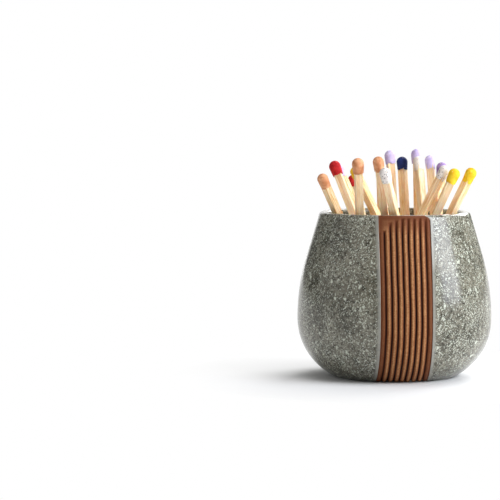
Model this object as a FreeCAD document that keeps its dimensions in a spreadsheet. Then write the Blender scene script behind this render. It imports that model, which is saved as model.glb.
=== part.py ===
import FreeCAD, Part
import math
import os
import Sketcher
from FreeCAD import Placement, Rotation, Vector

# A stoneware match striker: a squat pot with a ribbed, unglazed striking panel down its front,
# holding eighteen long matches. Millimetres, +Z up, the origin on the pot's axis where it stands,
# and the striking panel faces -Y.

SIZES = {
    "belly_dia": 87.4,
    "belly_level": 26.0,
    "foot_dia": 55.0,
    "mouth_dia": 67.5,
    "pot_height": 74.0,
    "flank_level": 55.0,
    "wall": 4.0,
    "floor_thick": 4.5,
    "lip_round": 2.0,
    "foot_bevel": 0.8,
    "rib_count": 9,
    "rib_pitch": 2.6,
    "rib_dia": 2.4,
    "rib_flats": 12,
    "rib_below_glaze": 0.15,
    "groove_depth": 1.0,
    "panel_margin": 0.95,
    "panel_top": 73.2,
    "panel_fade": 2.5,
    "match_length": 100.0,
    "splint_width": 3.5,
    "head_dia": 5.6,
    "head_length": 8.0,
    "head_cap": 1.3,
    "head_neck_skin": 0.08,
    "head_flats": 16,
    "match_clearance": 0.1,
}

# One row for each match, from left to right. The first pair says where it crosses the mouth and the
# second where its foot stands, to the right and to the back, as shares of the room that is there.
MATCHES = [
    ((-0.95, -0.10), (0.25, 0.95)),
    ((-0.80, -0.15), (0.25, -0.85)),
    ((-0.60, 0.30), (0.55, -0.40)),
    ((-0.50, 0.90), (-0.05, -0.85)),
    ((-0.60, -0.80), (-0.40, 0.15)),
    ((-0.30, 0.60), (1.00, -0.20)),
    ((-0.30, -0.85), (0.15, 0.00)),
    ((-0.05, 1.00), (-0.20, -0.60)),
    ((-0.15, -1.00), (0.70, 0.05)),
    ((0.10, 1.00), (0.20, 0.20)),
    ((0.30, 0.95), (0.35, -0.20)),
    ((0.50, 0.85), (0.50, 0.15)),
    ((0.55, 0.55), (0.70, -0.55)),
    ((0.75, 0.60), (0.90, -0.45)),
    ((0.80, 0.40), (0.45, -0.90)),
    ((0.40, -0.40), (-1.00, -0.20)),
    ((0.65, -0.40), (-0.40, 0.60)),
    ((0.90, -0.45), (-0.25, 0.35)),
]
SETTLING_ROUNDS = 400
ROLL_STEP = 37.0
# Each of two matches that come too close moves by this share of the room they lack.
SHARE_OF_PUSH = 0.55

doc = FreeCAD.newDocument("match_striker")
sheet = doc.addObject("Spreadsheet::Sheet", "Sizes")
for row, (alias, value) in enumerate(SIZES.items(), start=1):
    sheet.set(f"A{row}", alias)
    sheet.set(f"B{row}", str(value))
    sheet.setAlias(f"B{row}", alias)
doc.recompute()


def size(alias):
    """A driving dimension, as the sheet has it."""
    return float(getattr(sheet, alias))


def origin_plane(body, role):
    """The body's own origin plane with this role."""
    return next(item for item in body.Origin.OriginFeatures if item.Role == role)


def new_sketch(body, name, role):
    """A sketch in the body, lying on one of its origin planes."""
    sketch = body.newObject("Sketcher::SketchObject", name)
    sketch.AttachmentSupport = (origin_plane(body, role), [""])
    sketch.MapMode = "FlatFace"
    return sketch


def bind(sketch, expression, *constraint):
    """Adds a dimension to the sketch and ties it to an expression of the sheet's values."""
    index = sketch.addConstraint(Sketcher.Constraint(*constraint))
    sketch.setExpression(f"Constraints[{index}]", expression)


def join_in_turn(sketch, joints):
    """Makes each pair of curve ends coincide."""
    for curve, end, other, other_end in joints:
        sketch.addConstraint(Sketcher.Constraint("Coincident", curve, end, other, other_end))


class Outline:
    """A curve from the foot up to the mouth: an arc, upright at the belly, an arc on, then a straight flank."""

    def __init__(self, foot, belly, mouth, mouth_level):
        self.belly = belly
        self.belly_level = size("belly_level")
        drawn_in = belly - foot
        # Both arcs stand upright at the belly, so both centres lie on its level.
        self.lower_radius = (self.belly_level**2 + drawn_in**2) / (2 * drawn_in)
        self.lower_centre = Vector(belly - self.lower_radius, 0, self.belly_level)
        self.upper_radius = self.radius_that_ends_at(belly - mouth, mouth_level)
        self.upper_centre = Vector(belly - self.upper_radius, 0, self.belly_level)
        self.lean = math.asin((size("flank_level") - self.belly_level) / self.upper_radius)

    def radius_that_ends_at(self, drawn_in, mouth_level):
        """Radius of the upper arc: a larger one leaves the mouth wider, so halving finds the right one."""
        rise = size("flank_level") - self.belly_level
        straight = mouth_level - size("flank_level")
        low, high = rise * 1.01, rise * 1000
        for _ in range(80):
            radius = (low + high) / 2
            lean = math.asin(rise / radius)
            if radius * (1 - math.cos(lean)) + straight * math.tan(lean) > drawn_in:
                low = radius
            else:
                high = radius
        return radius

    def point(self, level, inset=0.0):
        """The curve's point at a level, with the whole curve moved inwards by inset."""
        above = level - self.belly_level
        if above <= 0:
            across = self.lower_centre.x + math.sqrt((self.lower_radius - inset) ** 2 - above**2)
            return Vector(across, 0, level)
        arc_top = (self.upper_radius - inset) * math.sin(self.lean)
        if above <= arc_top:
            across = self.upper_centre.x + math.sqrt((self.upper_radius - inset) ** 2 - above**2)
            return Vector(across, 0, level)
        across = self.upper_centre.x + (self.upper_radius - inset) * math.cos(self.lean)
        return Vector(across - (above - arc_top) * math.tan(self.lean), 0, level)

    def foot_end(self, inset):
        """The moved curve's lower end, on the line that stands square to the outline at the foot."""
        reach = (self.lower_radius - inset) / self.lower_radius
        return self.lower_centre + (self.point(0) - self.lower_centre) * reach

    def flank_start(self, inset=0.0):
        """Where the straight flank begins."""
        return self.point(self.belly_level + (self.upper_radius - inset) * math.sin(self.lean), inset)


OUTLINE = Outline(size("foot_dia") / 2, size("belly_dia") / 2, size("mouth_dia") / 2, size("pot_height"))


def flat(point):
    """The same point in an upright sketch, whose second axis is the height."""
    return Vector(point.x, point.z, 0)


def sketch_arc(centre, radius, start_point, end_point):
    """An arc of a circle in the sketch, counterclockwise between two points."""
    angles = [math.atan2(p.y - centre.y, p.x - centre.x) for p in (start_point, end_point)]
    return Part.ArcOfCircle(Part.Circle(centre, Vector(0, 0, 1), radius), *angles)


# The inside is turned in straight cuts, whose corners lie a wall's thickness inside the outline. The
# lowest corner is this share of the way up from the floor to the belly.
INNER_BEND = 0.42


def outline_sketch(body):
    """Half the pot's section: foot, belly, flank, lip, the inside face and the floor."""
    sketch = new_sketch(body, "Section", "XZ_Plane")
    wall = size("wall")
    foot = flat(OUTLINE.point(0))
    foot_flat = foot - Vector(size("foot_bevel"), 0, 0)
    bevel_top = flat(OUTLINE.point(size("foot_bevel") / 2))
    belly = flat(OUTLINE.point(OUTLINE.belly_level))
    flank = flat(OUTLINE.flank_start())
    mouth = flat(OUTLINE.point(size("pot_height")))
    inner_mouth = flat(OUTLINE.point(size("pot_height"), wall))
    inner_flank = flat(OUTLINE.flank_start(wall))
    inner_belly = belly - Vector(wall, 0, 0)
    bend_level = size("floor_thick") + (OUTLINE.belly_level - size("floor_thick")) * INNER_BEND
    inner_bend = flat(OUTLINE.point(bend_level, wall))
    floor_edge = flat(OUTLINE.point(size("floor_thick"), wall))
    floor_centre = Vector(0, size("floor_thick"), 0)
    lower, upper = flat(OUTLINE.lower_centre), flat(OUTLINE.upper_centre)
    curves = sketch.addGeometry(
        [
            Part.LineSegment(Vector(0, 0, 0), foot_flat),
            Part.LineSegment(foot_flat, bevel_top),
            sketch_arc(lower, OUTLINE.lower_radius, bevel_top, belly),
            sketch_arc(upper, OUTLINE.upper_radius, belly, flank),
            Part.LineSegment(flank, mouth),
            Part.LineSegment(mouth, inner_mouth),
            Part.LineSegment(inner_mouth, inner_flank),
            sketch_arc(upper, OUTLINE.upper_radius - wall, inner_belly, inner_flank),
            sketch_arc(lower, OUTLINE.lower_radius - wall, floor_edge, inner_belly),
            Part.LineSegment(floor_edge, floor_centre),
            Part.LineSegment(floor_centre, Vector(0, 0, 0)),
            Part.LineSegment(inner_flank, inner_belly),
            Part.LineSegment(inner_belly, inner_bend),
            Part.LineSegment(inner_bend, floor_edge),
            Part.Point(foot),
        ],
        False,
    )
    base, bevel, low, high, side, lip, in_side, in_high, in_low, ground, axis = curves[:11]
    neck, bowl, hollow, corner = curves[11:]
    start, end, centre = 1, 2, 3
    join_in_turn(
        sketch,
        [
            (base, start, -1, start),
            (base, end, bevel, start),
            (bevel, end, low, start),
            (low, end, high, start),
            (side, end, lip, start),
            (lip, end, in_side, start),
            (in_high, start, in_low, end),
            (in_low, start, ground, start),
            (ground, end, axis, start),
            (axis, end, base, start),
            (in_high, centre, high, centre),
            (in_low, centre, low, centre),
            (neck, start, in_high, end),
            (neck, end, in_high, start),
            (bowl, start, neck, end),
            (bowl, end, hollow, start),
            (hollow, end, in_low, start),
        ],
    )
    for guide in (in_high, in_low, corner):
        sketch.setConstruction(guide, True)
    sketch.addConstraint(Sketcher.Constraint("PointOnObject", corner, start, -1))
    sketch.addConstraint(Sketcher.Constraint("PointOnObject", corner, start, low))
    sketch.addConstraint(Sketcher.Constraint("PointOnObject", bowl, end, in_low))
    bend = f"Sizes.floor_thick + (Sizes.belly_level - Sizes.floor_thick) * {INNER_BEND}"
    bind(sketch, bend, "DistanceY", -1, 1, bowl, end, bend_level)
    for kind, line in (("Horizontal", base), ("Horizontal", lip), ("Horizontal", ground), ("Vertical", axis)):
        sketch.addConstraint(Sketcher.Constraint(kind, line))
    sketch.addConstraint(Sketcher.Constraint("Tangent", high, end, side, start))
    sketch.addConstraint(Sketcher.Constraint("Tangent", in_side, end, in_high, end))
    sketch.addConstraint(Sketcher.Constraint("Parallel", in_side, side))
    for curve, point in ((low, centre), (high, centre), (high, start), (in_high, start)):
        bind(sketch, "Sizes.belly_level", "DistanceY", -1, 1, curve, point, belly.y)
    bind(sketch, "Sizes.foot_dia / 2", "DistanceX", -1, 1, corner, start, foot.x)
    bind(sketch, "Sizes.foot_dia / 2 - Sizes.foot_bevel", "DistanceX", -1, 1, base, end, foot_flat.x)
    bind(sketch, "Sizes.foot_bevel / 2", "DistanceY", -1, 1, bevel, end, bevel_top.y)
    bind(sketch, "Sizes.belly_dia / 2", "DistanceX", -1, 1, high, start, belly.x)
    bind(sketch, "Sizes.flank_level", "DistanceY", -1, 1, high, end, flank.y)
    bind(sketch, "Sizes.mouth_dia / 2", "DistanceX", -1, 1, side, end, mouth.x)
    bind(sketch, "Sizes.pot_height", "DistanceY", -1, 1, side, end, mouth.y)
    bind(sketch, "Sizes.belly_dia / 2 - Sizes.wall", "DistanceX", -1, 1, in_high, start, inner_belly.x)
    bind(sketch, "Sizes.floor_thick", "DistanceY", -1, 1, ground, end, floor_centre.y)
    return sketch


def ring_edges(shape, level, nearest):
    """Names of the full circles at a level, those of about a radius only."""
    return [
        f"Edge{number}"
        for number, edge in enumerate(shape.Edges, start=1)
        if isinstance(edge.Curve, Part.Circle)
        and abs(edge.Curve.Center.z - level) < 1e-4
        and abs(edge.Curve.Radius - nearest) < 1e-3
    ]


def make_blank():
    """The turned pot with its rounded lip, before the striking panel is cut."""
    body = doc.addObject("PartDesign::Body", "Blank")
    sketch = outline_sketch(body)
    doc.recompute()
    turned = body.newObject("PartDesign::Revolution", "Turned")
    turned.Profile = sketch
    turned.ReferenceAxis = (sketch, ["V_Axis"])
    turned.Angle = 360.0
    body.Tip = turned
    doc.recompute()
    top = size("pot_height")
    lip_rings = ring_edges(turned.Shape, top, size("mouth_dia") / 2)
    lip_rings += ring_edges(turned.Shape, top, OUTLINE.point(top, size("wall")).x)
    lip = body.newObject("PartDesign::Fillet", "Lip")
    lip.Base = (turned, lip_rings)
    lip.setExpression("Radius", "min(Sizes.lip_round; 0.45 * Sizes.wall)")
    body.Tip = lip
    doc.recompute()
    return body


def arc_edge(centre, radius, start_point, end_point):
    """An arc in the upright plane through the axis, counterclockwise from one point to the other."""
    angles = [math.atan2(p.z - centre.z, p.x - centre.x) for p in (start_point, end_point)]
    middle = (angles[0] + angles[1]) / 2
    through = centre + Vector(math.cos(middle), 0, math.sin(middle)) * radius
    return Part.Arc(start_point, through, end_point).toShape()


def panel_half_width():
    """From the panel's middle to its edge: half the ribs' span and the outer rib's visible share."""
    return (size("rib_count") - 1) / 2 * size("rib_pitch") + size("panel_margin")


def panel_recess():
    """What is cut away for the panel: the skin to the grooves' depth, fading out under the lip."""
    depth = size("groove_depth")
    reach = size("belly_dia")
    foot = OUTLINE.foot_end(depth)
    belly = OUTLINE.point(OUTLINE.belly_level, depth)
    flank = OUTLINE.flank_start(depth)
    fade = OUTLINE.point(max(size("panel_top") - size("panel_fade"), flank.z + depth), depth)
    surface = OUTLINE.point(size("panel_top"))
    outside = surface + (surface - fade)
    corners = [outside, Vector(reach, 0, outside.z), Vector(reach, 0, -depth), Vector(foot.x, 0, -depth), foot]
    edges = [
        arc_edge(OUTLINE.lower_centre, OUTLINE.lower_radius - depth, foot, belly),
        arc_edge(OUTLINE.upper_centre, OUTLINE.upper_radius - depth, belly, flank),
        Part.LineSegment(flank, fade).toShape(),
        Part.LineSegment(fade, outside).toShape(),
    ]
    edges += [Part.LineSegment(a, b).toShape() for a, b in zip(corners, corners[1:])]
    ring = Part.Face(Part.Wire(Part.__sortEdges__(edges)))
    ring.rotate(Vector(0, 0, 0), Vector(0, 0, 1), -135)
    band = ring.revolve(Vector(0, 0, 0), Vector(0, 0, 1), 90)
    half = panel_half_width()
    slab = Part.makeBox(2 * half, reach, 2 * reach, Vector(-half, -reach, -reach / 2))
    return band.common(slab)


def rib_section(centre):
    """A rib's level cross-section at the belly: a ring of flats, one of them facing forwards."""
    count = int(size("rib_flats"))
    reach = size("rib_dia") / 2 / math.cos(math.pi / count)
    turns = [2 * math.pi * (step + 0.5) / count + math.pi / 2 for step in range(count)]
    corners = [centre + Vector(math.cos(turn), math.sin(turn), 0) * reach for turn in turns]
    return Part.Face(Part.makePolygon(corners + corners[:1]))


def rib(offset):
    """One rib, its crest a little below the glaze, turned round the outline's centres and then straight."""
    inset = size("rib_dia") / 2 + size("rib_below_glaze")
    top_level = size("panel_top") - size("lip_round")
    levels = (0, OUTLINE.belly_level, top_level)
    line = Outline(*[math.sqrt(OUTLINE.point(level).x ** 2 - offset**2) for level in levels], top_level)
    section = rib_section(Vector(offset, inset - line.belly, line.belly_level))
    across = Vector(1, 0, 0)
    lower_pivot = Vector(0, -line.lower_centre.x, line.belly_level)
    upper_pivot = Vector(0, -line.upper_centre.x, line.belly_level)
    lead_in = math.asin(line.belly_level / line.lower_radius) + size("rib_dia") / line.lower_radius
    lean = math.degrees(line.lean)
    lower = section.revolve(lower_pivot, across, math.degrees(lead_in))
    upper = section.revolve(upper_pivot, across, -lean)
    section.rotate(upper_pivot, across, -lean)
    along = Vector(0, math.sin(line.lean), math.cos(line.lean))
    straight = section.extrude(along * ((top_level - size("flank_level")) / math.cos(line.lean)))
    return lower.fuse([upper, straight])


def make_pot():
    """The fired pot: the blank, less the panel's recess, in which the ribs are left standing."""
    blank = make_blank()
    recess = doc.addObject("Part::Feature", "PanelRecess")
    recess.Shape = panel_recess()
    count = int(size("rib_count"))
    ribs = []
    for index in range(count):
        ribs.append(doc.addObject("Part::Feature", f"Rib{index + 1}"))
        ribs[-1].Shape = rib((index - (count - 1) / 2) * size("rib_pitch"))
    comb = doc.addObject("Part::Compound", "StrikingRibs")
    comb.Links = ribs
    grooves = doc.addObject("Part::Cut", "Grooves")
    grooves.Base = recess
    grooves.Tool = comb
    pot = doc.addObject("Part::Cut", "Pot")
    pot.Base = blank
    pot.Tool = grooves
    pot.Label = "pot"
    return pot


def splint_form():
    """One square splint, standing on the origin, its end hidden in the head."""
    body = doc.addObject("PartDesign::Body", "SplintForm")
    sketch = new_sketch(body, "SplintSection", "XY_Plane")
    half = size("splint_width") / 2
    corners = [Vector(-half, -half, 0), Vector(half, -half, 0), Vector(half, half, 0), Vector(-half, half, 0)]
    square(sketch, corners)
    pad = body.newObject("PartDesign::Pad", "SplintLength")
    pad.Profile = sketch
    pad.setExpression("Length", "Sizes.match_length - Sizes.head_cap")
    body.Tip = pad
    return body


def square(sketch, corners):
    """A closed square about the sketch's centre, as wide as the splint."""
    sides = [Part.LineSegment(a, b) for a, b in zip(corners, corners[1:] + corners[:1])]
    bottom, right, top, left = sketch.addGeometry(sides, False)
    join_in_turn(sketch, [(bottom, 2, right, 1), (right, 2, top, 1), (top, 2, left, 1), (left, 2, bottom, 1)])
    for kind, line in (("Horizontal", bottom), ("Horizontal", top), ("Vertical", left), ("Vertical", right)):
        sketch.addConstraint(Sketcher.Constraint(kind, line))
    sketch.addConstraint(Sketcher.Constraint("Symmetric", bottom, 1, right, 2, -1, 1))
    bind(sketch, "Sizes.splint_width", "DistanceX", bottom, 1, bottom, 2, size("splint_width"))
    bind(sketch, "Sizes.splint_width", "DistanceY", right, 1, right, 2, size("splint_width"))


# The dome over a head's shoulder, as angles up its round. Its flat tip has this share of the girth.
DOME_ANGLES = (0, 33, 61)
TIP_SHARE = 0.2


def head_ring(radius, level):
    """The corners of a level ring of flats about a head's axis."""
    count = int(size("head_flats"))
    turns = [2 * math.pi * step / count for step in range(count)]
    return [Vector(radius * math.cos(turn), radius * math.sin(turn), level) for turn in turns]


def flat_sided(rings):
    """The solid whose sides run flat from each ring of corners to the next."""
    faces = [Part.Face(Part.makePolygon(ring + ring[:1])) for ring in (rings[0], rings[-1])]
    for low, high in zip(rings, rings[1:]):
        for step in range(len(low)):
            corners = [low[step - 1], low[step], high[step], high[step - 1]]
            faces.append(Part.Face(Part.makePolygon(corners + corners[:1])))
    return Part.Solid(Part.Shell(faces))


def head_form():
    """One dipped head above the origin: a barrel with a domed tip, and the socket that the splint fills."""
    barrel = size("head_dia") / 2
    skin = size("splint_width") / math.sqrt(2) + size("head_neck_skin")
    rings = [head_ring(skin / math.cos(math.pi / size("head_flats")), size("match_length") - size("head_length"))]
    for angle in DOME_ANGLES:
        girth, rise = barrel * math.cos(math.radians(angle)), barrel * math.sin(math.radians(angle))
        rings.append(head_ring(girth, size("match_length") - barrel + rise))
    rings.append(head_ring(barrel * TIP_SHARE, size("match_length")))
    dipped = doc.addObject("Part::Feature", "Dipped")
    dipped.Shape = flat_sided(rings)
    socket = doc.addObject("Part::Box", "Socket")
    for side, middle in (("Length", "x"), ("Width", "y")):
        socket.setExpression(side, "Sizes.splint_width")
        socket.setExpression(f"Placement.Base.{middle}", "-Sizes.splint_width / 2")
    socket.setExpression("Height", "Sizes.match_length - Sizes.head_cap")
    head = doc.addObject("Part::Cut", "HeadForm")
    head.Base = dipped
    head.Tool = socket
    return head


def placed(form, label, placement):
    """One of the pieces that share a form, where it rests."""
    piece = doc.addObject("App::Link", "Piece")
    piece.LinkedObject = form
    piece.Placement = placement
    piece.Label = label
    return piece


# A square splint turned any way fits in a round as wide as its diagonal. Where it leans, it takes a
# little more room at a level than straight across.
SPLINT_ROUND = size("splint_width") * math.sqrt(2)
ROOM_FOR_LEANING = 1.08
LEANING_HALF = SPLINT_ROUND / 2 * ROOM_FOR_LEANING
MOUTH_ROOM = OUTLINE.point(size("pot_height"), size("wall")).x - LEANING_HALF - size("match_clearance")
FOOT_ROOM = OUTLINE.point(size("floor_thick"), size("wall")).x - LEANING_HALF - size("match_clearance")


def nearest_points(start_a, end_a, start_b, end_b):
    """Where two straight runs pass closest, as the share of each run's length."""
    run_a, run_b, gap = end_a - start_a, end_b - start_b, start_a - start_b
    aa, bb, ab = run_a.dot(run_a), run_b.dot(run_b), run_a.dot(run_b)
    ag, bg = run_a.dot(gap), run_b.dot(gap)
    spread = aa * bb - ab * ab
    share_a = min(max((ab * bg - bb * ag) / spread, 0), 1) if spread > 1e-9 else 0.5
    share_b = min(max((ab * share_a + bg) / bb, 0), 1)
    share_a = min(max((ab * share_b - ag) / aa, 0), 1)
    return share_a, share_b


class Leaning:
    """A match on its way to rest: it stands on the floor and crosses the mouth's level."""

    def __init__(self, mouth_share, foot_share):
        self.mouth = Vector(mouth_share[0] * MOUTH_ROOM, mouth_share[1] * MOUTH_ROOM, size("pot_height"))
        self.foot = Vector(foot_share[0] * FOOT_ROOM, foot_share[1] * FOOT_ROOM, size("floor_thick"))

    def direction(self):
        return (self.mouth - self.foot).normalize()

    def run(self, from_length):
        """The axis from a length above the foot to the middle of the head's dome."""
        along = self.direction()
        return self.foot + along * from_length, self.foot + along * (size("match_length") - size("head_dia") / 2)

    def nudge(self, push, level):
        """Moves the axis sideways at a level, turning it as little as that takes."""
        share = (level - self.foot.z) / (self.mouth.z - self.foot.z)
        whole = share**2 + (1 - share) ** 2
        push = Vector(push.x, push.y, 0)
        self.mouth += push * (share / whole)
        self.foot += push * ((1 - share) / whole)

    def keep_inside(self):
        """Holds the match inside the lip and on the flat of the floor."""
        for point, room in ((self.mouth, MOUTH_ROOM), (self.foot, FOOT_ROOM)):
            reach = math.hypot(point.x, point.y)
            if reach > room:
                point.x *= room / reach
                point.y *= room / reach


def part_pair(one, other):
    """Pushes two matches apart where their splints or heads come too close."""
    head_from = size("match_length") - size("head_length")
    gap = size("match_clearance")
    head, splint = size("head_dia"), SPLINT_ROUND
    for from_one, from_other, room in (
        (0, 0, splint + gap),
        (head_from, 0, (head + splint) / 2 + gap),
        (0, head_from, (head + splint) / 2 + gap),
        (head_from, head_from, head + gap),
    ):
        run_one, run_other = one.run(from_one), other.run(from_other)
        share_one, share_other = nearest_points(*run_one, *run_other)
        at_one = run_one[0] + (run_one[1] - run_one[0]) * share_one
        at_other = run_other[0] + (run_other[1] - run_other[0]) * share_other
        apart = at_other - at_one
        if apart.Length < room:
            aside = Vector(apart.x, apart.y, 0)
            push = aside.normalize() * ((room - apart.Length) * SHARE_OF_PUSH)
            one.nudge(-push, at_one.z)
            other.nudge(push, at_other.z)


def settled_matches():
    """Where the eighteen matches come to rest, leaning on the lip and on each other."""
    bundle = [Leaning(mouth, foot) for mouth, foot in MATCHES]
    for _ in range(SETTLING_ROUNDS):
        for index, one in enumerate(bundle):
            for other in bundle[index + 1 :]:
                part_pair(one, other)
        for one in bundle:
            one.keep_inside()
    return bundle


def resting_placement(leaning, roll):
    """Stands a match on its lowest corner, rolled about its own length."""
    along = leaning.direction()
    turn = Rotation(Vector(0, 0, 1), along).multiply(Rotation(Vector(0, 0, 1), roll))
    half = size("splint_width") / 2
    dip = half * (abs(turn.multVec(Vector(1, 0, 0)).z) + abs(turn.multVec(Vector(0, 1, 0)).z))
    lift = dip / along.z
    return Placement(leaning.foot + along * lift, turn)


def check(objects):
    """Stops if any object failed or any piece isn't one valid solid."""
    for item in doc.Objects:
        if "Invalid" in item.State or "Error" in item.State:
            raise RuntimeError(f"{item.Name} failed: {item.State}")
    for piece in objects:
        shape = Part.getShape(piece)
        if shape.isNull() or not shape.isValid() or len(shape.Solids) != 1:
            raise RuntimeError(f"{piece.Label} isn't one valid solid")


pieces = [make_pot()]
splint, head = splint_form(), head_form()
doc.recompute()
for number, leaning in enumerate(settled_matches(), start=1):
    placement = resting_placement(leaning, ROLL_STEP * number)
    pieces.append(placed(splint, f"match_{number:02d}_splint", placement))
    pieces.append(placed(head, f"match_{number:02d}_head", placement))
doc.recompute()
check(pieces)

os.makedirs("parts", exist_ok=True)
for piece in pieces:
    Part.getShape(piece).exportStep(os.path.join("parts", f"{piece.Label}.step"))
print(f"{len(pieces)} pieces written")
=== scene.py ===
import math

import bpy
import numpy as np
from mathutils import Matrix, Vector


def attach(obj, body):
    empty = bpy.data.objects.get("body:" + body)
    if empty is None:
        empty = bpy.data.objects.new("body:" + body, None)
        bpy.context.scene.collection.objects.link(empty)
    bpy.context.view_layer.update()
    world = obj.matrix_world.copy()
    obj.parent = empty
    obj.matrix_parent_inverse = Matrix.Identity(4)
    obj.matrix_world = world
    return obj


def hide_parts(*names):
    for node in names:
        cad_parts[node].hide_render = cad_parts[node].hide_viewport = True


# A table match striker: a squat stoneware pot in a speckled grey-green glaze, with a ribbed panel of
# bare brown clay down its front, and eighteen long wooden matches with coloured heads leaning in it.
# Lengths are written in millimetres and turned into metres as each mesh is made.

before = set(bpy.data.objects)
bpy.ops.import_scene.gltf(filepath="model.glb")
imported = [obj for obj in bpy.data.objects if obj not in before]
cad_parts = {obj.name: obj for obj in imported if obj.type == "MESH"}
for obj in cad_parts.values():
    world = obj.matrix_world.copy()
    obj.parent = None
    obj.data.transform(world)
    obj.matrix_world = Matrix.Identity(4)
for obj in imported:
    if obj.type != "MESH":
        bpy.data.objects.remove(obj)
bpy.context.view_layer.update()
MM = 0.001


# The pot: one piece of stoneware, turned on a wheel, with a rounded lip and a flat foot. The striking
# panel was cut into its front before firing, as nine upright ribs that keep a constant distance from the
# middle plane while the belly swells behind them.
BELLY_RADIUS, BELLY_LEVEL = 43.7, 26.0
FOOT_RADIUS = 27.5
LOWER_RADIUS, UPPER_RADIUS = 28.964, 101.0
FLANK_LEAN = math.radians(16.69)
MOUTH_RADIUS, POT_HEIGHT = 33.75, 74.0
WALL, FLOOR_LEVEL, LIP_ROUND = 4.0, 4.5, 1.8
PANEL_HALF, RIB_COUNT, RIB_PITCH, RIB_RADIUS = 11.35, 9, 2.6, 1.2
CREST_DEPTH, GROOVE_DEPTH = 0.15, 1.0
PANEL_TOP, GROOVE_FADE = 73.3, 2.2
PANEL_CORNER = 2.2
# The panel's edge is eased from just outside it, over this run.
EDGE_START, EDGE_RUN = 0.12, 0.32
# The glaze stops this far above the foot.
FOOT_BARE = 0.2
# How far below the others each groove stops under the lip, from left to right.
GROOVE_STOPS = [6.5, 5.6, 2.4, 1.1, 0.2, 0.0, 0.3, 0.1, 0.5, 0.9]
# The skin's columns lie close together over the panel and a little beyond it, and further apart behind.
PANEL_BORDER, PANEL_COLUMNS, BACK_COLUMNS = 0.85, 181, 148
FAR_FROM_PANEL = 9.0


def turned(centre, radius, start, end, count):
    """Points on an arc of the outline, from one angle to the other in degrees."""
    angles = np.radians(np.linspace(start, end, count))
    return np.column_stack([centre[0] + radius * np.cos(angles), centre[1] + radius * np.sin(angles)])


def straight(start, end, count):
    """Evenly spaced points on a straight piece of the outline, without its last one."""
    share = np.linspace(0, 1, count, endpoint=False)[:, None]
    return np.array(start) * (1 - share) + np.array(end) * share


def pot_outline():
    """The whole section as radius and height, with the index of the first row past the lip's crest."""
    lower = (BELLY_RADIUS - LOWER_RADIUS, BELLY_LEVEL)
    upper = (BELLY_RADIUS - UPPER_RADIUS, BELLY_LEVEL)
    lean = math.degrees(FLANK_LEAN)
    foot_angle = -math.degrees(math.asin(BELLY_LEVEL / LOWER_RADIUS))
    across = LIP_ROUND / math.cos(FLANK_LEAN)
    slope = math.tan(FLANK_LEAN)
    lip_level = POT_HEIGHT - LIP_ROUND
    inner_mouth = MOUTH_RADIUS - WALL / math.cos(FLANK_LEAN)
    outer_lip = (MOUTH_RADIUS + LIP_ROUND * slope - across, lip_level)
    inner_lip = (inner_mouth + LIP_ROUND * slope + across, lip_level)
    # Each piece of the outline ends with its number of rows.
    outside = [
        straight((4.0, 0.0), (FOOT_RADIUS - 0.5, 0.0), 6),
        turned(lower, LOWER_RADIUS, foot_angle + 0.9, -0.8, 44),
        turned(upper, UPPER_RADIUS, 0.0, lean - 0.35, 44),
    ]
    flank_top = np.array(outer_lip) + LIP_ROUND * np.array([math.cos(FLANK_LEAN), math.sin(FLANK_LEAN)])
    flank_start = outside[-1][-1] + (flank_top - outside[-1][-1]) * 0.03
    outside.append(straight(flank_start, flank_top, 36))
    outside.append(turned(outer_lip, LIP_ROUND, lean, 88.0, 10))
    crest = sum(len(piece) for piece in outside)
    inner_lower, inner_upper = LOWER_RADIUS - WALL, UPPER_RADIUS - WALL
    inner_start = turned(inner_lip, LIP_ROUND, 92.0, 180.0 + lean, 12)
    inner_flank = turned(upper, inner_upper, lean, 0.0, 14)
    floor_angle = -math.degrees(math.asin((BELLY_LEVEL - FLOOR_LEVEL - 1.2) / inner_lower))
    inner_foot = turned(lower, inner_lower, -6.0, floor_angle, 10)
    inside = [
        inner_start,
        straight(inner_start[-1], inner_flank[0], 8)[1:],
        inner_flank,
        inner_foot,
        np.array([[inner_foot[-1][0] - 1.8, FLOOR_LEVEL + 0.1], [20.0, FLOOR_LEVEL], [8.0, FLOOR_LEVEL]]),
    ]
    return np.vstack(outside + inside), crest


def panel_distance(across, level):
    """How far a point lies outside the bare panel, in millimetres, and below nought inside it."""
    # Only the upper right corner of the panel is round. The upper left one runs square to the lip.
    round_x = across - (PANEL_HALF - PANEL_CORNER)
    round_z = level - (POT_HEIGHT - 0.5 - PANEL_CORNER)
    corner = np.hypot(np.maximum(round_x, 0), np.maximum(round_z, 0)) - PANEL_CORNER
    in_corner = (round_x > 0) & (round_z > 0)
    return np.where(in_corner, corner, np.maximum(np.abs(across) - PANEL_HALF, level - POT_HEIGHT + 0.1))


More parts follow.
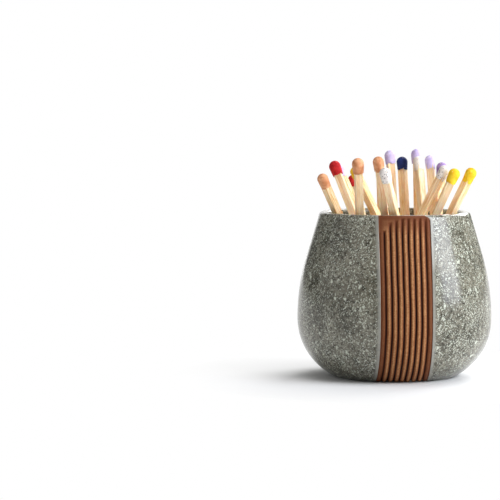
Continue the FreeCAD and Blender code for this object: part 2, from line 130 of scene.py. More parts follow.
def panel_depth(across, level):
    """How deep the panel's surface lies below the glaze, in millimetres."""
    # The ribs waver a tenth of a millimetre, as a hand-drawn tool leaves them.
    hand = 0.10 * np.sin(level / 7.5 + 0.9) + 0.05 * np.sin(level / 3.1 + across * 0.4)
    moved = across + hand * (1 - np.abs(across) / 16)
    rib = np.clip(np.round(moved / RIB_PITCH), -(RIB_COUNT // 2), RIB_COUNT // 2)
    aside = moved - rib * RIB_PITCH
    rounded = CREST_DEPTH + RIB_RADIUS - np.sqrt(np.maximum(RIB_RADIUS**2 - aside**2, 0))
    groove = np.clip(np.floor(moved / RIB_PITCH + 0.5 * RIB_COUNT + 0.5), 0, RIB_COUNT).astype(int)
    stop = PANEL_TOP - np.array(GROOVE_STOPS)[groove]
    rising = np.clip((stop - level) / GROOVE_FADE, 0, 1)
    deepest = CREST_DEPTH + (GROOVE_DEPTH - CREST_DEPTH) * np.sqrt(rising)
    depth = np.minimum(rounded, deepest)
    depth = depth * np.clip((POT_HEIGHT - 0.9 - level) / 0.8, 0, 1)
    edge = np.clip((EDGE_START - panel_distance(across, level)) / EDGE_RUN, 0, 1)
    return depth * edge * edge * (3 - 2 * edge)


def make_pot_mesh():
    """The pot's skin, from the middle of its base over the lip to the middle of its floor.

    Each point keeps its distance from the panel and its depth in it.
    """
    outline, crest = pot_outline()
    radius, level = outline[:, 0], outline[:, 1]
    row = np.arange(len(outline))
    fan_radius = np.maximum(radius, FOOT_RADIUS)
    fan_radius[row >= crest] = radius[crest - 1]
    panel_x = np.linspace(-PANEL_HALF - PANEL_BORDER, PANEL_HALF + PANEL_BORDER, PANEL_COLUMNS)
    across = np.arcsin(panel_x[None, :] / fan_radius[:, None])
    share = np.linspace(0, 1, BACK_COLUMNS + 2)[None, 1:-1]
    behind = across[:, -1:] + share * (2 * math.pi - 2 * across[:, -1:])
    angle = np.hstack([across, behind])
    x = radius[:, None] * np.sin(angle)
    y = -radius[:, None] * np.cos(angle)
    z = np.repeat(level[:, None], angle.shape[1], axis=1)
    outside = ((row < crest) & (level > 0.01))[:, None] & (np.cos(angle) > 0)
    away = np.where(outside, panel_distance(x, z), FAR_FROM_PANEL)
    depth = np.where(outside, panel_depth(x, z), 0.0)
    # The panel is cut in upright planes, so its depth is taken along the outline and not to the side.
    run = np.gradient(outline, axis=0)
    run /= np.linalg.norm(run, axis=1)[:, None]
    inwards, upwards = run[:, 1:2], -run[:, 0:1]
    y = y + depth * inwards
    z = z - depth * upwards
    columns = angle.shape[1]
    points = np.stack([x, y, z], axis=2).reshape(-1, 3)
    points = np.vstack([points, [0, 0, 0], [0, 0, FLOOR_LEVEL]]) * MM
    base_middle, floor_middle = len(points) - 2, len(points) - 1
    last = (len(outline) - 1) * columns
    faces = []
    for i in range(len(outline) - 1):
        for j in range(columns):
            k = (j + 1) % columns
            faces.append((i * columns + j, i * columns + k, (i + 1) * columns + k, (i + 1) * columns + j))
    faces += [(base_middle, (j + 1) % columns, j) for j in range(columns)]
    faces += [(floor_middle, last + j, last + (j + 1) % columns) for j in range(columns)]
    mesh = bpy.data.meshes.new("fired_pot")
    mesh.from_pydata(points.tolist(), [], faces)
    away = np.append(away.reshape(-1), [FAR_FROM_PANEL, FAR_FROM_PANEL])
    depth = np.append(depth.reshape(-1), [0.0, 0.0])
    for name, values in (("panel_distance", away), ("panel_depth", depth)):
        layer = mesh.attributes.new(name, "FLOAT", "POINT")
        layer.data.foreach_set("value", values)
    mesh.polygons.foreach_set("use_smooth", [True] * len(faces))
    middles = np.array([away[list(face)].mean() for face in faces])
    tops = np.array([points[list(face), 2].max() for face in faces])
    bare = (middles < 0) | (tops < FOOT_BARE * MM)
    mesh.polygons.foreach_set("material_index", bare.astype(int))
    return mesh


pot = bpy.data.objects.new("fired_pot", make_pot_mesh())
bpy.context.scene.collection.objects.link(pot)
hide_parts("pot")
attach(pot, "root")


# The pot's glaze: a poured and fired stoneware glaze, grey-green and glossy, strewn with pale specks and
# a few larger blotches. Beside the panel, where it was wiped back, it is a plain paler line.
def linear(colour):
    """A hex colour as it looks on a screen, in the renderer's linear values."""
    parts = [int(colour[i : i + 2], 16) / 255 for i in (1, 3, 5)]
    return [p / 12.92 if p <= 0.04045 else ((p + 0.055) / 1.055) ** 2.4 for p in parts] + [1.0]


def add(tree, kind, inputs=None, stops=None, **settings):
    """Adds a node. An input is a number, a name, a hex colour, or a node or socket to link to it."""
    node = tree.nodes.new(kind)
    for name, value in settings.items():
        setattr(node, name, value)
    ready = [socket for socket in node.inputs if socket.enabled]
    for key, value in (inputs or {}).items():
        socket = ready[key] if isinstance(key, int) else next(item for item in ready if item.name == key)
        if isinstance(value, bpy.types.Node):
            value = next(output for output in value.outputs if output.enabled)
        if isinstance(value, bpy.types.NodeSocket):
            tree.links.new(value, socket)
        else:
            socket.default_value = linear(value) if str(value).startswith("#") else value
    if stops:
        ramp = node.color_ramp
        for _ in stops[2:]:
            ramp.elements.new(0.5)
        for element, (place, colour) in zip(ramp.elements, stops):
            element.position = place
            element.color = linear(colour)
    return node


def new_material(name):
    """An empty material, its tree and its surface shader."""
    material = bpy.data.materials.new(name)
    material.use_nodes = True
    return material, material.node_tree, material.node_tree.nodes["Principled BSDF"]


def per_mm(width):
    """The scale that gives a pattern features of about this many millimetres."""
    return 1000.0 / width


glaze, tree, shader = new_material("speckled_grey_green_glaze")
place = add(tree, "ShaderNodeTexCoord").outputs["Object"]
height = add(tree, "ShaderNodeSeparateXYZ", {0: place}).outputs["Z"]
away = add(tree, "ShaderNodeAttribute", attribute_name="panel_distance").outputs["Fac"]
# The body of the glaze drifts in tone over centimetres, and is mottled light and dark over millimetres.
clouds = add(tree, "ShaderNodeTexNoise", {"Vector": place, "Scale": per_mm(14.0)})
body = add(tree, "ShaderNodeValToRGB", {0: clouds}, [(0.36, "#49473B"), (0.60, "#716D5F")])
mottle = {"Vector": place, "Scale": per_mm(2.6), "Detail": 3.0, "Roughness": 0.6}
mottle = add(tree, "ShaderNodeTexNoise", mottle)
milky = add(tree, "ShaderNodeMapRange", {"Value": mottle, "From Min": 0.44, "From Max": 0.66, "To Max": 0.65})
body = add(tree, "ShaderNodeMix", {"Factor": milky, "A": body, "B": "#8B8777"}, data_type="RGBA")
pits = add(tree, "ShaderNodeTexNoise", {"Vector": place, "Scale": per_mm(1.1)})
dark = add(tree, "ShaderNodeMapRange", {"Value": pits, "From Min": 0.53, "From Max": 0.63, "To Max": 0.8})
body = add(tree, "ShaderNodeMix", {"Factor": dark, "A": body, "B": "#2B281E"}, data_type="RGBA")
# The finest specks are half a millimetre wide and crowd together in places. There are flakes of about a
# millimetre too, and a few blotches of two or three. None lies on the line beside the panel.
grains = add(tree, "ShaderNodeTexNoise", {"Vector": place, "Scale": per_mm(0.64), "Roughness": 0.6})
crowd = add(tree, "ShaderNodeTexNoise", {"Vector": place, "Scale": per_mm(8.0), "Detail": 1.0})
crowded = add(tree, "ShaderNodeMath", {0: crowd, 1: 0.18, 2: grains}, operation="MULTIPLY_ADD")
specks = add(tree, "ShaderNodeMapRange", {"Value": crowded, "From Min": 0.645, "From Max": 0.735})
chips = {"Vector": place, "Scale": per_mm(1.3), "Roughness": 0.6, "Distortion": 0.6}
chips = add(tree, "ShaderNodeTexNoise", chips)
flakes = add(tree, "ShaderNodeMapRange", {"Value": chips, "From Min": 0.64, "From Max": 0.69})
pools = add(tree, "ShaderNodeTexNoise", {"Vector": place, "Scale": per_mm(3.2), "Roughness": 0.65})
blotches = add(tree, "ShaderNodeMapRange", {"Value": pools, "From Min": 0.645, "From Max": 0.70})
pale = add(tree, "ShaderNodeMath", {0: specks, 1: flakes}, operation="MAXIMUM")
pale = add(tree, "ShaderNodeMath", {0: pale, 1: blotches}, operation="MAXIMUM")
clear_of_line = add(tree, "ShaderNodeMapRange", {"Value": away, "From Min": 0.9, "From Max": 1.9})
pale = add(tree, "ShaderNodeMath", {0: pale, 1: clear_of_line}, operation="MULTIPLY")
strewn = add(tree, "ShaderNodeMath", {0: pale, 1: 0.9}, operation="MULTIPLY")
body = add(tree, "ShaderNodeMix", {"Factor": strewn, "A": body, "B": "#CED2C2"}, data_type="RGBA")
wiped = add(tree, "ShaderNodeMapRange", {"Value": away, "From Min": 1.7, "From Max": 0.8, "To Max": 0.7})
body = add(tree, "ShaderNodeMix", {"Factor": wiped, "A": body, "B": "#A09F96"}, data_type="RGBA")
# Over its lowest 9 mm the glaze is darkened, a painted shade where the belly turns under towards the floor.
painted_underside_shade = add(tree, "ShaderNodeMapRange", {"Value": height, "From Min": 0.009, "From Max": 0.0, "To Max": 0.45})
body = add(tree, "ShaderNodeMix", {"Factor": painted_underside_shade, "A": body, "B": "#3A392F"}, data_type="RGBA")
tree.links.new(body.outputs[2], shader.inputs["Base Color"])
gloss = {"Value": mottle, "From Min": 0.3, "From Max": 0.7, "To Min": 0.14, "To Max": 0.22}
gloss = add(tree, "ShaderNodeMapRange", gloss)
tree.links.new(gloss.outputs[0], shader.inputs["Roughness"])
waves = add(tree, "ShaderNodeBump", {"Height": mottle, "Strength": 0.05, "Distance": 0.0003})
raised = add(tree, "ShaderNodeBump", {"Height": pale, "Strength": 0.05, "Distance": 0.0001, "Normal": waves})
tree.links.new(raised.outputs[0], shader.inputs["Normal"])
shader.inputs["IOR"].default_value = 1.5
pot.data.materials.append(glaze)


# The pot's striking panel and foot: bare fired clay, dry and gritty so that a match lights on it. It is
# a toasted brown, with a painted highlight on each rib's crest and painted shade, nearly black, in the
# grooves.
clay, tree, shader = new_material("bare_brown_clay")
place = add(tree, "ShaderNodeTexCoord").outputs["Object"]
height = add(tree, "ShaderNodeSeparateXYZ", {0: place}).outputs["Z"]
depth = add(tree, "ShaderNodeAttribute", attribute_name="panel_depth").outputs["Fac"]
away = add(tree, "ShaderNodeAttribute", attribute_name="panel_distance").outputs["Fac"]
grit = {"Vector": place, "Scale": per_mm(0.8), "Detail": 3.0, "Roughness": 0.6}
grit = add(tree, "ShaderNodeTexNoise", grit)
rubbed = add(tree, "ShaderNodeValToRGB", {0: grit}, [(0.36, "#885731"), (0.64, "#B68152")])
streaks = add(tree, "ShaderNodeTexNoise", {"Vector": place, "Scale": per_mm(6.0)})
toasted = {"Value": streaks, "From Min": 0.4, "From Max": 0.65, "To Max": 0.5}
toasted = add(tree, "ShaderNodeMapRange", toasted)
tone = add(tree, "ShaderNodeMix", {"Factor": toasted, "A": rubbed, "B": "#8A5532"}, data_type="RGBA")
# A thin painted highlight lightens each rib's crest. From there painted shade darkens the clay down the rib's
# sides, and again to the bottom of the groove.
painted_crest_highlight = {"Value": depth, "From Min": 0.185, "From Max": 0.152, "To Max": 0.25}
painted_crest_highlight = add(tree, "ShaderNodeMapRange", painted_crest_highlight)
tone = add(tree, "ShaderNodeMix", {"Factor": painted_crest_highlight, "A": tone, "B": "#D2A278"}, data_type="RGBA")
# Painted shade: the clay darkens down each rib's sides towards the groove.
painted_flank_shade = add(tree, "ShaderNodeMapRange", {"Value": depth, "From Min": 0.17, "From Max": 0.38, "To Max": 0.85})
tone = add(tree, "ShaderNodeMix", {"Factor": painted_flank_shade, "A": tone, "B": "#743F20"}, data_type="RGBA")
# Painted shade: the clay turns nearly black at the bottom of each groove.
painted_groove_shade = add(tree, "ShaderNodeMapRange", {"Value": depth, "From Min": 0.35, "From Max": 0.75})
tone = add(tree, "ShaderNodeMix", {"Factor": painted_groove_shade, "A": tone, "B": "#240701"}, data_type="RGBA")
edge = add(tree, "ShaderNodeMapRange", {"Value": away, "From Min": -2.6, "From Max": -1.2, "To Max": 0.8})
tone = add(tree, "ShaderNodeMix", {"Factor": edge, "A": tone, "B": "#5E2D13"}, data_type="RGBA")
under_lip = {"Value": height, "From Min": 0.0655, "From Max": 0.070, "To Max": 0.75}
under_lip = add(tree, "ShaderNodeMapRange", under_lip)
tone = add(tree, "ShaderNodeMix", {"Factor": under_lip, "A": tone, "B": "#66351C"}, data_type="RGBA")
tree.links.new(tone.outputs[2], shader.inputs["Base Color"])
shader.inputs["Roughness"].default_value = 0.7
shader.inputs["Specular IOR Level"].default_value = 0.2
rough = add(tree, "ShaderNodeBump", {"Height": grit, "Strength": 0.5, "Distance": 0.0003})
tree.links.new(rough.outputs[0], shader.inputs["Normal"])
pot.data.materials.append(clay)


# The splints: square sticks of raw aspen, sawn and tumbled, so that their edges are eased. Each leans on
# the lip and on its neighbours, where its CAD node lies, and the grain runs along it.
MATCH_COUNT = 18
SPLINT_WIDTH, SPLINT_EASE, END_GAP = 3.36, 0.28, 0.05
# From one stick to the next, the wood's pattern is taken this far away, in millimetres.
PATTERN_STEP = (23, 7, 131)


def stick_frame(name):
    """A CAD splint's length, and the matrix from its own axes, foot at the origin, to the pot's."""
    points = np.unique(np.round([v.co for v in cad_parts[name].data.vertices], 7), axis=0)
    middle = points.mean(0)
    along = np.linalg.svd(points - middle)[2][0]
    along *= np.sign(along[2])
    reach = (points - middle) @ along
    end = points[reach > 0]
    side = end[1:] - end[0]
    side = side[np.argmin(np.linalg.norm(side, axis=1))]
    side -= along * (side @ along)
    side /= np.linalg.norm(side)
    foot = middle + along * reach.min()
    turn = np.column_stack([side, np.cross(along, side), along])
    matrix = np.eye(4)
    matrix[:3, :3], matrix[:3, 3] = turn, foot
    return (reach.max() - reach.min()) / MM, Matrix(matrix.tolist())


def new_group(name, numbers):
    """An empty geometry node group with these number inputs and a material, and its input sockets."""
    group = bpy.data.node_groups.new(name, "GeometryNodeTree")
    group.interface.new_socket("Geometry", in_out="OUTPUT", socket_type="NodeSocketGeometry")
    for number in numbers:
        group.interface.new_socket(number, in_out="INPUT", socket_type="NodeSocketFloat")
    group.interface.new_socket("Material", in_out="INPUT", socket_type="NodeSocketMaterial")
    return group, add(group, "NodeGroupInput").outputs


def splint_group():
    """The node group: a square with eased corners, drawn out to the stick's length in millimetres."""
    group, given = new_group("sawn_splint", ("Width", "Ease", "Length", "Number"))
    square = add(group, "GeometryNodeCurvePrimitiveQuadrilateral", {0: given["Width"], 1: given["Width"]})
    corners = {"Curve": square, "Radius": given["Ease"], "Count": 3}
    eased = add(group, "GeometryNodeFilletCurve", corners, mode="POLY")
    top = add(group, "ShaderNodeMath", {0: given["Length"], 1: END_GAP}, operation="SUBTRACT")
    end = add(group, "ShaderNodeCombineXYZ", {"Z": top})
    line = add(group, "GeometryNodeCurvePrimitiveLine", {"Start": (0, 0, END_GAP), "End": end})
    drawn = add(group, "GeometryNodeCurveToMesh", {"Curve": line, "Profile Curve": eased, "Fill Caps": True})
    # Each stick keeps its own coordinates, so that no two show the same wood.
    here = add(group, "GeometryNodeInputPosition")
    apart = add(group, "ShaderNodeVectorMath", {0: PATTERN_STEP, "Scale": given["Number"]}, operation="SCALE")
    own = add(group, "ShaderNodeVectorMath", {0: here, 1: apart}, operation="ADD")
    kept = {"Geometry": drawn, "Name": "own_place", "Value": own}
    grained = add(group, "GeometryNodeStoreNamedAttribute", kept, data_type="FLOAT_VECTOR", domain="POINT")
    sharp = add(group, "GeometryNodeSetShadeSmooth", {"Geometry": grained, "Shade Smooth": False})
    real = add(group, "GeometryNodeRealizeInstances", {"Geometry": sharp})
    dressed = add(group, "GeometryNodeSetMaterial", {"Geometry": real, "Material": given["Material"]})
    add(group, "NodeGroupOutput", {0: dressed})
    return group


def made_by(group, name, place, values):
    """A plain object from a node group and its values, turned into metres and put in its place."""
    holder = bpy.data.objects.new("holder", bpy.data.meshes.new("holder"))
    bpy.context.scene.collection.objects.link(holder)
    maker = holder.modifiers.new(group.name, "NODES")
    maker.node_group = group
    for item in group.interface.items_tree:
        if item.in_out == "INPUT":
            maker[item.identifier] = values[item.name]
    bpy.context.view_layer.update()
    mesh = bpy.data.meshes.new_from_object(holder.evaluated_get(bpy.context.evaluated_depsgraph_get()))
    bpy.data.objects.remove(holder)
    mesh.transform(place @ Matrix.Scale(MM, 4))
    piece = bpy.data.objects.new(name, mesh)
    bpy.context.scene.collection.objects.link(piece)
    return piece


aspen, tree, shader = new_material("sawn_aspen")
own = add(tree, "ShaderNodeAttribute", attribute_name="own_place").outputs["Vector"]
# Sawn aspen is pale, matt and straight-grained, with more golden veins. The stick's own coordinates are
# in millimetres, and its fibres are a third of one wide and run far along it.
along = add(tree, "ShaderNodeMapping", {"Vector": own, "Scale": (1.0, 1.0, 0.045)})
fibre = add(tree, "ShaderNodeTexNoise", {"Vector": along, "Scale": 3.2, "Detail": 4.0, "Roughness": 0.65})
wood = add(tree, "ShaderNodeValToRGB", {0: fibre}, [(0.32, "#D48F3E"), (0.5, "#F6D49C"), (0.62, "#FFF4DE")])
figure = add(tree, "ShaderNodeTexNoise", {"Vector": along, "Scale": 0.8})
veins = add(tree, "ShaderNodeMapRange", {"Value": figure, "From Min": 0.5, "From Max": 0.72, "To Max": 0.55})
wood = add(tree, "ShaderNodeMix", {"Factor": veins, "A": wood, "B": "#CE8A3C"}, data_type="RGBA")
# Some sticks are cut from paler wood than others.
batch = add(tree, "ShaderNodeTexNoise", {"Vector": own, "Scale": 0.02, "Detail": 0.0})
bleached = {"Value": batch, "From Min": 0.35, "From Max": 0.65, "To Max": 0.4}
bleached = add(tree, "ShaderNodeMapRange", bleached)
wood = add(tree, "ShaderNodeMix", {"Factor": bleached, "A": wood, "B": "#FBEACB"}, data_type="RGBA")
tree.links.new(wood.outputs[2], shader.inputs["Base Color"])
shader.inputs["Roughness"].default_value = 0.62
shader.inputs["Specular IOR Level"].default_value = 0.3
# Light soaks a millimetre or so into the pale wood, and comes out orange on the shaded sides.
shader.inputs["Subsurface Weight"].default_value = 0.3
shader.inputs["Subsurface Radius"].default_value = (1.0, 0.50, 0.15)
shader.inputs["Subsurface Scale"].default_value = 0.002
furry = add(tree, "ShaderNodeBump", {"Height": fibre, "Strength": 0.35, "Distance": 0.0002})
tree.links.new(furry.outputs[0], shader.inputs["Normal"])

sawn_splint = splint_group()
stick_frames = []
for number in range(1, MATCH_COUNT + 1):
    length, matrix = stick_frame(f"match_{number:02d}_splint")
    stick_frames.append((length, matrix))
    sizes = {"Width": SPLINT_WIDTH, "Ease": SPLINT_EASE, "Length": length}
    values = {**sizes, "Number": float(number), "Material": aspen}
    stick = made_by(sawn_splint, f"match_{number:02d}_stick", matrix, values)
    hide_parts(f"match_{number:02d}_splint")
    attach(stick, "root")


# The heads: bulbs of match compound, dipped on the sticks' ends and dried, in eight colours. One node
# group makes them all, each with its own seed, so that no two have the same lumps or ragged lower edge.
HEAD_RADIUS, HEAD_LENGTH, HEAD_CAP = 2.8, 8.0, 1.3
HEAD_FRAY, HEAD_LUMPS, SEED_STEP = 2.0, 0.32, 3.7
# The colour and the plumpness of each head, from left to right.
HEADS = [
    ("peach", 0.93),
    ("red", 1.0),
    ("lavender", 0.93),
    ("red", 0.93),
    ("peach", 1.0),
    ("yellow", 0.93),
    ("peach", 0.93),
    ("peach", 0.93),
    ("speckled_white", 0.96),
    ("lavender", 0.97),
    ("navy", 0.97),
    ("lavender", 0.95),
    ("cream", 0.90),
    ("lavender", 0.90),
    ("mauve", 0.92),
    ("speckled_white", 0.91),
    ("yellow", 0.97),
    ("yellow", 0.95),
]


def head_group():
    """The node group: a ball drawn down into a bulb, frayed at its neck and lumped all over."""
    group, given = new_group("dipped_head", ("Radius", "Length", "Fray", "Lumps", "Seed"))
    ball = add(group, "GeometryNodeMeshUVSphere", {"Segments": 40, "Rings": 26, "Radius": 1.0})
    start = add(group, "ShaderNodeSeparateXYZ", {0: add(group, "GeometryNodeInputPosition")}).outputs
    above = add(group, "ShaderNodeMapRange", {"Value": start["Z"]})
    below = add(group, "ShaderNodeMapRange", {"Value": start["Z"], "From Max": -1.0})
    # The tip is a true dome. Under its shoulder the bulb narrows a little, and closes on the stick.
    drop = add(group, "ShaderNodeMath", {0: above, 1: above}, operation="MULTIPLY")
    chord = add(group, "ShaderNodeMath", {0: 1.0, 1: drop}, operation="SUBTRACT")
    dome = add(group, "ShaderNodeMath", {0: chord}, operation="SQRT")
    taper = add(group, "ShaderNodeMapRange", {"Value": below, "To Min": 1.0, "To Max": 0.86})
    closed = {"Value": below, "From Min": 0.993, "To Min": 1.0, "To Max": 0.0}
    closed = add(group, "ShaderNodeMapRange", closed)
    drawn = add(group, "ShaderNodeMath", {0: dome, 1: taper}, operation="MULTIPLY")
    girth = add(group, "ShaderNodeMath", {0: drawn, 1: closed}, operation="MULTIPLY")
    reach = add(group, "ShaderNodeMath", {0: girth, 1: given["Radius"]}, operation="MULTIPLY")
    aside = add(group, "ShaderNodeCombineXYZ", {"X": start["X"], "Y": start["Y"]})
    heading = add(group, "ShaderNodeVectorMath", {0: aside}, operation="NORMALIZE")
    around = add(group, "ShaderNodeVectorMath", {0: heading, "Scale": reach}, operation="SCALE")
    skirt = add(group, "ShaderNodeMath", {0: given["Radius"], 1: given["Length"]}, operation="SUBTRACT")
    down = add(group, "ShaderNodeMath", {0: below, 1: skirt}, operation="MULTIPLY")
    level = add(group, "ShaderNodeMath", {0: above, 1: given["Radius"], 2: down}, operation="MULTIPLY_ADD")
    # Where the compound stopped creeping up the stick, the lower edge is ragged.
    ragged = {"Vector": heading, "W": given["Seed"], "Scale": 1.6}
    creep = add(group, "ShaderNodeTexNoise", ragged, noise_dimensions="4D")
    at_neck = add(group, "ShaderNodeMapRange", {"Value": below, "From Min": 0.6, "To Max": given["Fray"]})
    level = add(group, "ShaderNodeMath", {0: creep, 1: at_neck, 2: level}, operation="MULTIPLY_ADD")
    upright = add(group, "ShaderNodeCombineXYZ", {"Z": level})
    bulb = add(group, "ShaderNodeVectorMath", {0: around, 1: upright}, operation="ADD")
    shaped = add(group, "GeometryNodeSetPosition", {"Geometry": ball, "Position": bulb})
    # The dried compound sinks in lumps, never outside the bulb's own radius.
    lumpy = {"Vector": bulb, "W": given["Seed"], "Scale": 0.55, "Detail": 3.0}
    lumps = add(group, "ShaderNodeTexNoise", lumpy, noise_dimensions="4D")
    below_top = add(group, "ShaderNodeMath", {0: lumps, 1: 0.95}, operation="SUBTRACT")
    sunk = add(group, "ShaderNodeMath", {0: below_top, 1: given["Lumps"]}, operation="MULTIPLY")
    normal = add(group, "GeometryNodeInputNormal")
    inwards = add(group, "ShaderNodeVectorMath", {0: normal, "Scale": sunk}, operation="SCALE")
    dented = add(group, "GeometryNodeSetPosition", {"Geometry": shaped, "Offset": inwards})
    smooth = add(group, "GeometryNodeSetShadeSmooth", {"Geometry": dented})
    real = add(group, "GeometryNodeRealizeInstances", {"Geometry": smooth})
    dressed = add(group, "GeometryNodeSetMaterial", {"Geometry": real, "Material": given["Material"]})
    add(group, "NodeGroupOutput", {0: dressed})
    return group


def match_compound(colour, deep, light, specks=0.0):
    """The dried match compound: matt and chalky, a little uneven in tone, some with dark grit in it."""
    material, tree, shader = new_material(f"{colour}_match_compound")
    place = add(tree, "ShaderNodeTexCoord").outputs["Object"]
    clouds = add(tree, "ShaderNodeTexNoise", {"Vector": place, "Scale": per_mm(2.4), "Detail": 3.0})
    tone = add(tree, "ShaderNodeValToRGB", {0: clouds}, [(0.36, deep), (0.64, light)])
    grains = add(tree, "ShaderNodeTexVoronoi", {"Vector": place, "Scale": per_mm(0.95)})
    grit = {"Value": grains, "From Min": 0.30, "From Max": 0.24, "To Max": specks}
    grit = add(tree, "ShaderNodeMapRange", grit)
    tone = add(tree, "ShaderNodeMix", {"Factor": grit, "A": tone, "B": "#4A4038"}, data_type="RGBA")
    tree.links.new(tone.outputs[2], shader.inputs["Base Color"])
    shader.inputs["Roughness"].default_value = 0.78
    shader.inputs["Specular IOR Level"].default_value = 0.3
    chalk = add(tree, "ShaderNodeTexNoise", {"Vector": place, "Scale": per_mm(0.5), "Detail": 3.0})
    rough = add(tree, "ShaderNodeBump", {"Height": chalk, "Strength": 0.35, "Distance": 0.0002})
    tree.links.new(rough.outputs[0], shader.inputs["Normal"])
    return material


PAINTS = {
    "peach": (match_compound("peach", "#C68257", "#E2A67C"), "head_peach"),
    "red": (match_compound("red", "#A81016", "#CC2624"), "head_red"),
    "lavender": (match_compound("lavender", "#BEADDC", "#D2C5E7"), "head_lavender"),
    "yellow": (match_compound("yellow", "#EBB30E", "#F8D436"), "head_yellow"),
    "speckled_white": (match_compound("speckled_white", "#DCD4CE", "#ECE6E0", 0.75), "head_white"),
    "cream": (match_compound("cream", "#E2D8CE", "#F0E9E1", 0.3), "head_white"),
    "navy": (match_compound("navy", "#101C4C", "#1C2E66"), "head_navy"),
    "mauve": (match_compound("mauve", "#8A6DA8", "#A68CC0"), "head_mauve"),
}

dipped_head = head_group()
for number, (paint, plumpness) in enumerate(HEADS, start=1):
    length, matrix = stick_frames[number - 1]
    radius = HEAD_RADIUS * plumpness
    compound, slot = PAINTS[paint]
    sizes = {"Radius": radius, "Length": HEAD_LENGTH, "Fray": HEAD_FRAY, "Lumps": HEAD_LUMPS}
    values = {**sizes, "Seed": number * SEED_STEP, "Material": compound}
    place = matrix @ Matrix.Translation((0, 0, (length + HEAD_CAP - radius) * MM))
    head = made_by(dipped_head, f"match_{number:02d}_bulb", place, values)
    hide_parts(f"match_{number:02d}_head")
    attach(head, "root")


# The floor: a sheet of matt white paper. It keeps the pot's soft shadow near the foot, and further out it
# is as white as the wall behind it, both to the eye and in the glaze.
SHEET_HALF, SHADOW_END, WHITE_START = 6.0, 0.04, 0.10
sheet = bpy.data.meshes.new("white_sheet")
sides = ((-1, -1), (1, -1), (1, 1), (-1, 1))
sheet.from_pydata([(x * SHEET_HALF, y * SHEET_HALF, 0) for x, y in sides], [], [(0, 1, 2, 3)])
paper, tree, shader = new_material("white_paper")
shader.inputs["Base Color"].default_value = linear("#EDEDED")
shader.inputs["Roughness"].default_value = 0.9
shader.inputs["Specular IOR Level"].default_value = 0.1
place = add(tree, "ShaderNodeTexCoord").outputs["Object"]
from_pot = add(tree, "ShaderNodeVectorMath", {0: place}, operation="LENGTH")
far = add(tree, "ShaderNodeMapRange", {"Value": from_pot, "From Min": SHADOW_END, "From Max": WHITE_START})
ray = add(tree, "ShaderNodeLightPath").outputs
seen = add(tree, "ShaderNodeMath", {0: ray["Is Camera Ray"], 1: ray["Is Glossy Ray"]}, operation="ADD")
through = {0: seen, 1: ray["Is Transmission Ray"]}
seen = add(tree, "ShaderNodeMath", through, operation="ADD", use_clamp=True)
white_share = add(tree, "ShaderNodeMath", {0: far, 1: seen}, operation="MULTIPLY")
white = add(tree, "ShaderNodeEmission", {"Color": "#FFFFFF", "Strength": 1.0})
surface = add(tree, "ShaderNodeMixShader", {0: white_share, 1: shader, 2: white})
tree.links.new(surface.outputs[0], tree.nodes["Material Output"].inputs["Surface"])
sheet.materials.append(paper)
floor = bpy.data.objects.new("white_sheet", sheet)
bpy.context.scene.collection.objects.link(floor)

world = bpy.data.worlds.new("studio")
bpy.context.scene.world = world
world.use_nodes = True
tree = world.node_tree
seen = add(tree, "ShaderNodeLightPath").outputs["Is Camera Ray"]
wall = add(tree, "ShaderNodeBackground", {"Color": "#FFFFFF", "Strength": 1.0})
room = add(tree, "ShaderNodeBackground", {"Color": "#F2F4F6", "Strength": 0.14})
both = add(tree, "ShaderNodeMixShader", {0: seen, 1: room, 2: wall})
tree.links.new(both.outputs[0], tree.nodes["World Output"].inputs["Surface"])


# The lights: cool softboxes on the right make the pale sheen beside the panel, one high behind rims the
# pot, and a weak one fills the left. A lamp in a snoot brightens the matches alone.
POT_MIDDLE, MATCHES_MIDDLE = Vector((0, 0, 0.045)), Vector((0, 0, 0.100))


def softbox(name, azimuth, elevation, distance, width, tall, power, tint=(1.0, 1.0, 1.0)):
    """A soft rectangle of light facing the pot, from a direction in degrees."""
    lamp = bpy.data.lights.new(name, "AREA")
    lamp.shape = "RECTANGLE"
    lamp.size, lamp.size_y, lamp.energy = width, tall, power
    lamp.color = tint
    box = bpy.data.objects.new(name, lamp)
    bpy.context.scene.collection.objects.link(box)
    turn, rise = math.radians(azimuth), math.radians(elevation)
    back = Vector((math.sin(turn) * math.cos(rise), -math.cos(turn) * math.cos(rise), math.sin(rise)))
    box.location = POT_MIDDLE + back * distance
    box.rotation_euler = back.to_track_quat("Z", "Y").to_euler()
    box.visible_camera = False


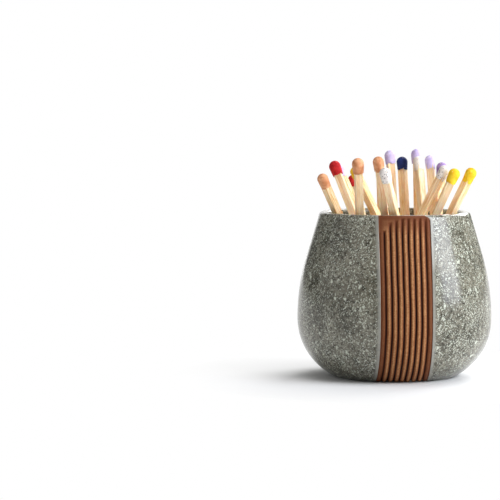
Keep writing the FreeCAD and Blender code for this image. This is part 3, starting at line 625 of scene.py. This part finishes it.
COOL = (0.88, 0.92, 1.0)
softbox("right_softbox", 64, 22, 0.8, 0.36, 0.56, 4.8, COOL)
softbox("right_back_softbox", 142, 34, 0.8, 0.56, 0.50, 7.0)
softbox("white_backdrop", 180, 18, 1.1, 0.7, 0.9, 2.4)
softbox("left_fill", -79, 20, 0.9, 1.1, 0.7, 1.2)
softbox("top_softbox", 10, 80, 0.9, 0.8, 0.8, 2.8)
softbox("panel_softbox", 38, 32, 0.9, 0.24, 0.30, 1.8)
softbox("shoulder_softbox", 64, 34, 0.85, 0.60, 0.20, 2.0, COOL)

snoot = bpy.data.lights.new("match_snoot", "SPOT")
snoot.energy = 11.0
snoot.spot_size = math.radians(6.4)
snoot.spot_blend = 0.6
snoot.shadow_soft_size = 0.04
lamp = bpy.data.objects.new("match_snoot", snoot)
bpy.context.scene.collection.objects.link(lamp)
lamp.location = (0.42, -0.80, 0.22)
lamp.rotation_euler = (lamp.location - MATCHES_MIDDLE).to_track_quat("Z", "Y").to_euler()


# The camera: a metre away and a little above the lip, turned aside so that the pot stands right of the
# middle, as in the photo. Its focal length is in pixels of an image 500 across.
IMAGE_WIDTH, FOCAL_LENGTH, POT_ASIDE = 500, 2218, 144.8
AZIMUTH, DISTANCE, CAMERA_HEIGHT = math.radians(-7.56), 1.0, 0.12886
PITCH, TURN_ASIDE = math.radians(4.1454), math.atan(POT_ASIDE / FOCAL_LENGTH)
camera_data = bpy.data.cameras.new("camera")
camera_data.sensor_width = 36.0
camera_data.lens = camera_data.sensor_width * FOCAL_LENGTH / IMAGE_WIDTH
camera_data.clip_end = 20.0
camera = bpy.data.objects.new("camera", camera_data)
bpy.context.scene.collection.objects.link(camera)
back = Vector((math.sin(AZIMUTH), -math.cos(AZIMUTH), 0))
right = Vector((math.cos(AZIMUTH), math.sin(AZIMUTH), 0))
level_look = -back * math.cos(TURN_ASIDE) - right * math.sin(TURN_ASIDE)
look = level_look * math.cos(PITCH) - Vector((0, 0, math.sin(PITCH)))
camera.location = back * DISTANCE + Vector((0, 0, CAMERA_HEIGHT))
camera.rotation_euler = (-look).to_track_quat("Z", "Y").to_euler()
bpy.context.scene.camera = camera
bpy.context.scene.view_settings.view_transform = "Standard"
